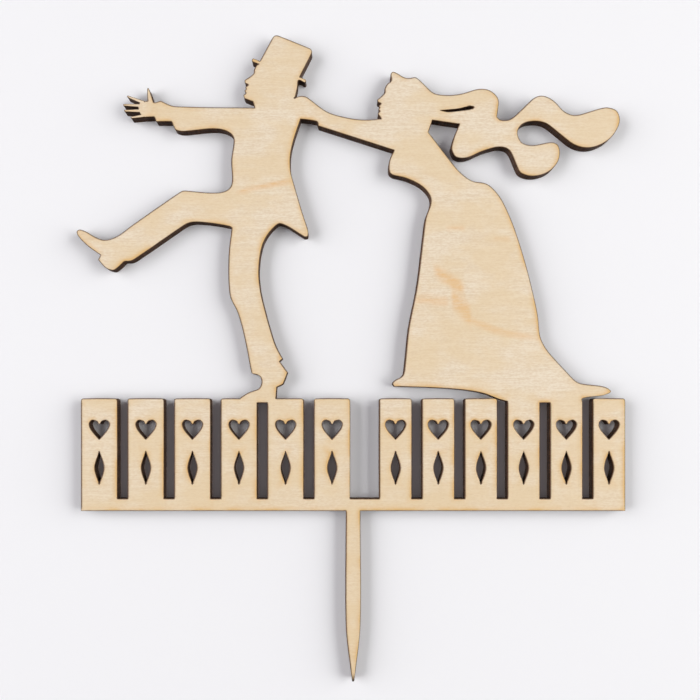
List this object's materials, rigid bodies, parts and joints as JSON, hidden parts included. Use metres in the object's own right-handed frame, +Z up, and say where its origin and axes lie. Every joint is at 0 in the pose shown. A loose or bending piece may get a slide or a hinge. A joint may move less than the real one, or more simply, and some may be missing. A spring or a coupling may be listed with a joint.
{
  "type": "wedding cake topper",
  "caption": "Flat laser-cut plywood cake topper: a bride holds back a groom in a top hat, on a heart-pierced picket fence with a rail and a pointed stake that pushes into the cake.",
  "frame": {"origin": "middle of the sheet's thickness, where the stake leaves the underside of the rail", "axes": "+X to the right along the rail seen from the face, +Z up toward the couple, +Y from the face to the back; the face looks toward -Y and the stake points down -Z"},
  "size_m": [0.1512, 0.003, 0.1781],
  "materials": {
    "face_veneer": "bare sanded pale veneer with scorched edges",
    "core_veneer": "bare veneer charred dark along the cut",
    "back_veneer": "bare sanded pale veneer with scorched edges",
    "glue_line": "hard brown resin charred along the cut"
  },
  "bodies": {
    "root": {"face_veneer": "face_veneer", "front_glue_line": "glue_line", "core_veneer": "core_veneer", "back_glue_line": "glue_line", "back_veneer": "back_veneer"}
  },
  "joints": []
}
